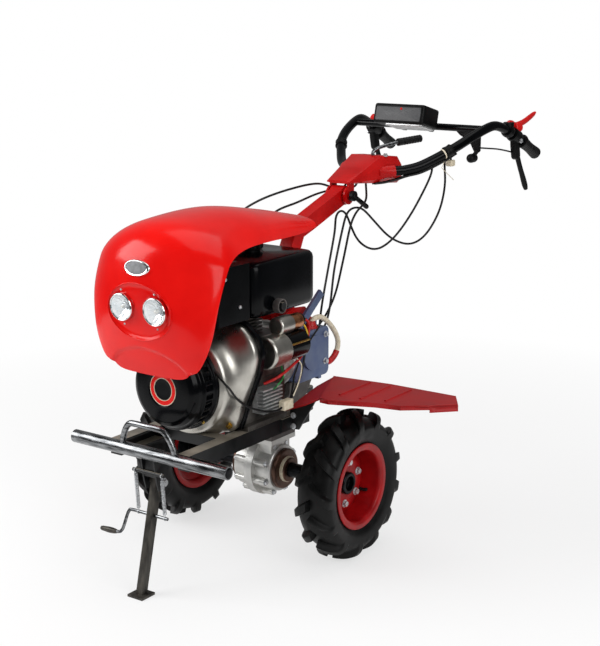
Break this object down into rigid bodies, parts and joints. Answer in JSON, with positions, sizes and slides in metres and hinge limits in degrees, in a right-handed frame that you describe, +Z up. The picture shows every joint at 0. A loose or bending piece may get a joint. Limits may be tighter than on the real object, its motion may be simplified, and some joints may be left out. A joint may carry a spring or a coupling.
{
  "type": "walking tractor",
  "caption": "Walking tractor with a red bonnet over an air-cooled engine, lugged wheels on a gearbox axle, side guards, tilting handlebars and a fold-up prop stand",
  "frame": {"origin": "middle of the bounding box at ground level", "axes": "+X forward, +Y left, +Z up"},
  "size_m": [1.5482, 1.0514, 1.089],
  "materials": {
    "tyre": "black rubber",
    "rim_paint": "dark red paint",
    "axle_steel": "black paint",
    "alloy": "cast",
    "alloy_blue": "cast",
    "iron": "cast",
    "frame_paint": "black paint",
    "bare_steel": "brushed",
    "black_gloss": "gloss black",
    "black_plastic": "matt",
    "grip_rubber": "matt",
    "copper_plate": "plated",
    "fin_alloy": "cast",
    "exhaust_steel": "heat-proof paint",
    "hose": "smooth",
    "bonnet_red": "gloss red",
    "lamp_chrome": "clear lens",
    "guard_paint": "dull red paint",
    "handle_paint": "red paint",
    "lever_red": "gloss"
  },
  "bodies": {
    "chassis": {"axle_drum": "alloy", "clutch_housing": "alloy", "crankcase": "alloy", "cylinder_head": "alloy", "blower_housing": "alloy", "gearbox_upper": "alloy_blue", "shift_arms": "alloy_blue", "gearbox_leg": "iron", "axle_covers": "iron", "rail_left": "frame_paint", "rail_right": "frame_paint", "cross_members": "frame_paint", "stand_bracket": "frame_paint", "hitch": "frame_paint", "gussets": "frame_paint", "bumper_bar": "bare_steel", "bumper_hoop": "bare_steel", "stand_springs": "bare_steel", "recoil_starter": "black_gloss", "fuel_tank": "black_gloss", "tank_plate": "black_gloss", "fan_shroud": "black_gloss", "battery_box": "black_gloss", "starter_motor": "black_gloss", "tank_cap": "black_plastic", "air_cleaner": "black_plastic", "cables_left": "grip_rubber", "cables_top": "grip_rubber", "solenoid": "copper_plate", "regulator": "fin_alloy", "fuel_tap": "fin_alloy", "silencer": "exhaust_steel", "breather_hose": "hose", "bonnet": "bonnet_red", "lamp_panel": "bonnet_red", "lamp_left": "lamp_chrome", "lamp_right": "lamp_chrome", "guard_left": "guard_paint", "guard_right": "guard_paint", "handle_column": "handle_paint"},
    "wheel_left": {"tyre_left": "tyre", "rim_left": "rim_paint", "axle_left": "axle_steel"},
    "wheel_right": {"tyre_right": "tyre", "rim_right": "rim_paint", "axle_right": "axle_steel"},
    "stand": {"stand_leg": "frame_paint", "stand_crank": "bare_steel"},
    "handlebar": {"console": "handle_paint", "bar_left": "black_gloss", "bar_right": "black_gloss", "crossbar": "black_gloss", "control_box": "black_plastic", "grip_left": "grip_rubber", "grip_right": "grip_rubber", "lever_left": "black_plastic", "lever_right": "black_plastic", "throttle_lever": "lever_red", "gear_lever": "black_plastic", "clamp_lever": "black_plastic"}
  },
  "joints": [
    {"name": "wheel_left_spin", "type": "hinge", "parent": "chassis", "child": "wheel_left", "pos_m": [0.259, 0.2625, 0.19], "axis": [0, 1, 0], "continuous": true},
    {"name": "wheel_right_spin", "type": "hinge", "parent": "chassis", "child": "wheel_right", "pos_m": [0.259, -0.2625, 0.19], "axis": [0, 1, 0], "continuous": true},
    {"name": "stand_fold", "type": "hinge", "parent": "chassis", "child": "stand", "pos_m": [0.687, 0, 0.268], "axis": [0, 1, 0], "range_deg": [0, 95], "deforming": ["stand_springs"]},
    {"name": "handlebar_tilt", "type": "hinge", "parent": "chassis", "child": "handlebar", "pos_m": [-0.086, 0, 0.861], "axis": [0, 1, 0], "range_deg": [-12, 15], "deforming": ["cables_left", "cables_top"]}
  ]
}
